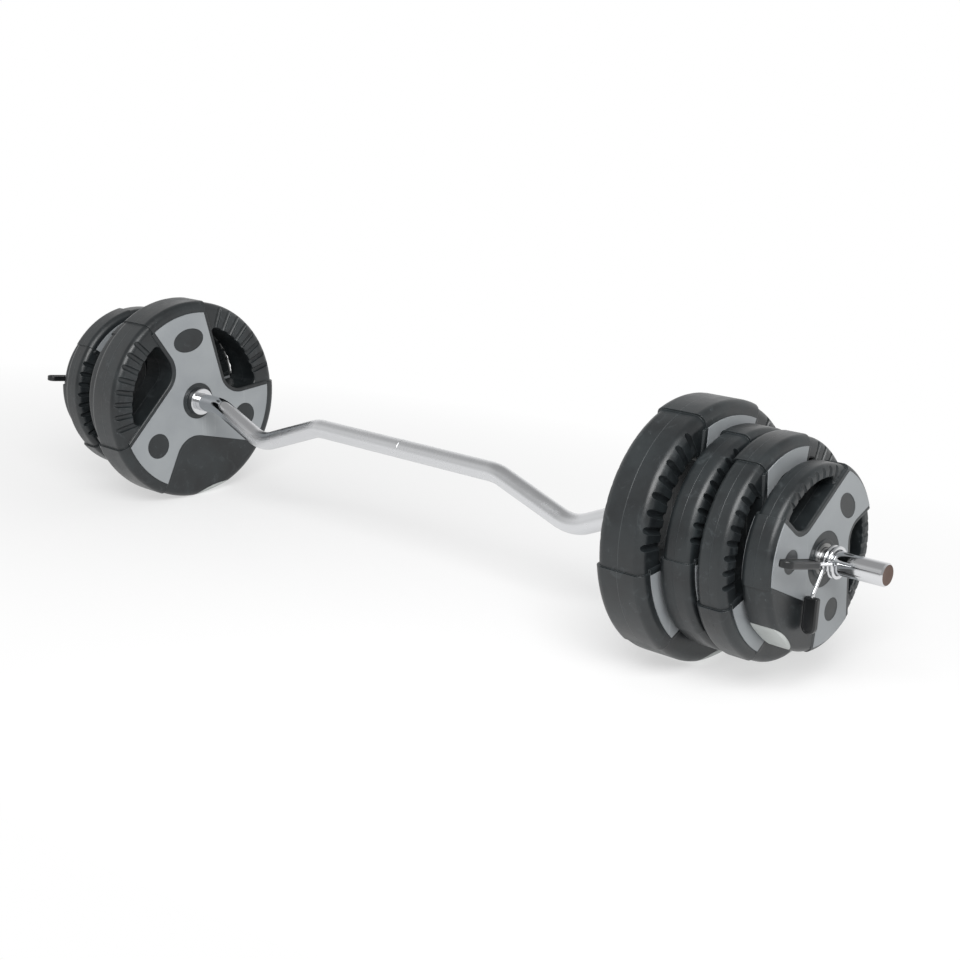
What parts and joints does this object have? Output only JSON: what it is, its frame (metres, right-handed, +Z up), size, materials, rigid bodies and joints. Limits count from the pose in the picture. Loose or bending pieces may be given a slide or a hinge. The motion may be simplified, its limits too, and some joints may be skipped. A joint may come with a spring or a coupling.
{
  "type": "loaded ez curl bar",
  "caption": "Zigzag curl bar with rubber tri-grip weight plates on both chromed sleeves, each stack held by a squeeze-handled spring collar.",
  "frame": {"origin": "middle of the bar's centre grip, on the bar's own axis there", "axes": "+X along the bar towards the sleeve that faces the viewer, +Z up with the bends hanging down, +Y away from the viewer"},
  "size_m": [1.388, 0.2913, 0.2896],
  "materials": {
    "bar_chrome": "bright chrome",
    "black_rubber": "moulded matt",
    "cast_iron": "as cast",
    "bush_steel": "bored",
    "grey_inlay": "satin moulded",
    "pale_foot": "moulded matt",
    "spring_chrome": "plated wire",
    "paddle_plastic": "moulded"
  },
  "bodies": {
    "bar": {"bar_shaft": "bar_chrome", "right_inner_collar": "bar_chrome", "left_inner_collar": "bar_chrome"},
    "right_plate_1_bush": {"right_plate_1_bush": "bush_steel"},
    "right_plate_1": {"right_plate_1_casing": "black_rubber", "right_plate_1_core": "cast_iron", "right_plate_1_outer_inlay": "grey_inlay", "right_plate_1_inner_inlay": "grey_inlay", "right_plate_1_foot": "pale_foot"},
    "right_plate_2_bush": {"right_plate_2_bush": "bush_steel"},
    "right_plate_2": {"right_plate_2_casing": "black_rubber", "right_plate_2_core": "cast_iron", "right_plate_2_outer_inlay": "grey_inlay", "right_plate_2_inner_inlay": "grey_inlay", "right_plate_2_foot": "pale_foot"},
    "right_plate_3_bush": {"right_plate_3_bush": "bush_steel"},
    "right_plate_3": {"right_plate_3_casing": "black_rubber", "right_plate_3_core": "cast_iron", "right_plate_3_outer_inlay": "grey_inlay", "right_plate_3_inner_inlay": "grey_inlay", "right_plate_3_foot": "pale_foot"},
    "right_plate_4_bush": {"right_plate_4_bush": "bush_steel"},
    "right_plate_4": {"right_plate_4_casing": "black_rubber", "right_plate_4_core": "cast_iron", "right_plate_4_outer_inlay": "grey_inlay", "right_plate_4_inner_inlay": "grey_inlay", "right_plate_4_foot": "pale_foot"},
    "right_collar": {"right_collar_spring": "spring_chrome", "right_collar_fixed_paddle": "paddle_plastic"},
    "right_collar_squeezed": {"right_collar_squeezed_paddle": "paddle_plastic"},
    "left_plate_1_bush": {"left_plate_1_bush": "bush_steel"},
    "left_plate_1": {"left_plate_1_casing": "black_rubber", "left_plate_1_core": "cast_iron", "left_plate_1_outer_inlay": "grey_inlay", "left_plate_1_inner_inlay": "grey_inlay", "left_plate_1_foot": "pale_foot"},
    "left_plate_2_bush": {"left_plate_2_bush": "bush_steel"},
    "left_plate_2": {"left_plate_2_casing": "black_rubber", "left_plate_2_core": "cast_iron", "left_plate_2_outer_inlay": "grey_inlay", "left_plate_2_inner_inlay": "grey_inlay", "left_plate_2_foot": "pale_foot"},
    "left_plate_3_bush": {"left_plate_3_bush": "bush_steel"},
    "left_plate_3": {"left_plate_3_casing": "black_rubber", "left_plate_3_core": "cast_iron", "left_plate_3_outer_inlay": "grey_inlay", "left_plate_3_inner_inlay": "grey_inlay", "left_plate_3_foot": "pale_foot"},
    "left_plate_4_bush": {"left_plate_4_bush": "bush_steel"},
    "left_plate_4": {"left_plate_4_casing": "black_rubber", "left_plate_4_core": "cast_iron", "left_plate_4_outer_inlay": "grey_inlay", "left_plate_4_inner_inlay": "grey_inlay", "left_plate_4_foot": "pale_foot"},
    "left_collar": {"left_collar_spring": "spring_chrome", "left_collar_fixed_paddle": "paddle_plastic"},
    "left_collar_squeezed": {"left_collar_squeezed_paddle": "paddle_plastic"}
  },
  "joints": [
    {"name": "right_plate_1_slide", "type": "slide", "parent": "bar", "child": "right_plate_1_bush", "axis": [1, 0, 0], "range_m": [0, 0.2667]},
    {"name": "right_plate_1_spin", "type": "hinge", "parent": "right_plate_1_bush", "child": "right_plate_1", "pos_m": [0.4653, 0, -0.0045], "axis": [1, 0, 0], "continuous": true},
    {"name": "right_plate_2_slide", "type": "slide", "parent": "right_plate_1_bush", "child": "right_plate_2_bush", "axis": [1, 0, 0], "range_m": [0, 0.2004]},
    {"name": "right_plate_2_spin", "type": "hinge", "parent": "right_plate_2_bush", "child": "right_plate_2", "pos_m": [0.51985, 0, -0.0045], "axis": [1, 0, 0], "continuous": true},
    {"name": "right_plate_3_slide", "type": "slide", "parent": "right_plate_2_bush", "child": "right_plate_3_bush", "axis": [1, 0, 0], "range_m": [0, 0.1577]},
    {"name": "right_plate_3_spin", "type": "hinge", "parent": "right_plate_3_bush", "child": "right_plate_3", "pos_m": [0.56265, 0, -0.0045], "axis": [1, 0, 0], "continuous": true},
    {"name": "right_plate_4_slide", "type": "slide", "parent": "right_plate_3_bush", "child": "right_plate_4_bush", "axis": [1, 0, 0], "range_m": [0, 0.1149]},
    {"name": "right_plate_4_spin", "type": "hinge", "parent": "right_plate_4_bush", "child": "right_plate_4", "pos_m": [0.6027, 0, -0.0045], "axis": [1, 0, 0], "continuous": true},
    {"name": "right_collar_slide", "type": "slide", "parent": "right_plate_4_bush", "child": "right_collar", "axis": [1, 0, 0], "range_m": [0, 0.0774]},
    {"name": "right_collar_squeeze", "type": "hinge", "parent": "right_collar", "child": "right_collar_squeezed", "pos_m": [0.6377, 0, -0.0045], "axis": [1, 0, 0], "range_deg": [0, 30], "stiffness_Nm_per_rad": 8, "deforming": ["right_collar_spring"]},
    {"name": "left_plate_1_slide", "type": "slide", "parent": "bar", "child": "left_plate_1_bush", "axis": [-1, 0, 0], "range_m": [0, 0.2667]},
    {"name": "left_plate_1_spin", "type": "hinge", "parent": "left_plate_1_bush", "child": "left_plate_1", "pos_m": [-0.4653, 0, -0.0045], "axis": [-1, 0, 0], "continuous": true},
    {"name": "left_plate_2_slide", "type": "slide", "parent": "left_plate_1_bush", "child": "left_plate_2_bush", "axis": [-1, 0, 0], "range_m": [0, 0.2004]},
    {"name": "left_plate_2_spin", "type": "hinge", "parent": "left_plate_2_bush", "child": "left_plate_2", "pos_m": [-0.51985, 0, -0.0045], "axis": [-1, 0, 0], "continuous": true},
    {"name": "left_plate_3_slide", "type": "slide", "parent": "left_plate_2_bush", "child": "left_plate_3_bush", "axis": [-1, 0, 0], "range_m": [-0.0162, 0.1412]},
    {"name": "left_plate_3_spin", "type": "hinge", "parent": "left_plate_3_bush", "child": "left_plate_3", "pos_m": [-0.57915, 0, -0.0045], "axis": [-1, 0, 0], "continuous": true},
    {"name": "left_plate_4_slide", "type": "slide", "parent": "left_plate_3_bush", "child": "left_plate_4_bush", "axis": [-1, 0, 0], "range_m": [0, 0.0984]},
    {"name": "left_plate_4_spin", "type": "hinge", "parent": "left_plate_4_bush", "child": "left_plate_4", "pos_m": [-0.6192, 0, -0.0045], "axis": [-1, 0, 0], "continuous": true},
    {"name": "left_collar_slide", "type": "slide", "parent": "left_plate_4_bush", "child": "left_collar", "axis": [-1, 0, 0], "range_m": [0, 0.0609]},
    {"name": "left_collar_squeeze", "type": "hinge", "parent": "left_collar", "child": "left_collar_squeezed", "pos_m": [-0.6542, 0, -0.0045], "axis": [-1, 0, 0], "range_deg": [0, 30], "stiffness_Nm_per_rad": 8, "deforming": ["left_collar_spring"]}
  ]
}
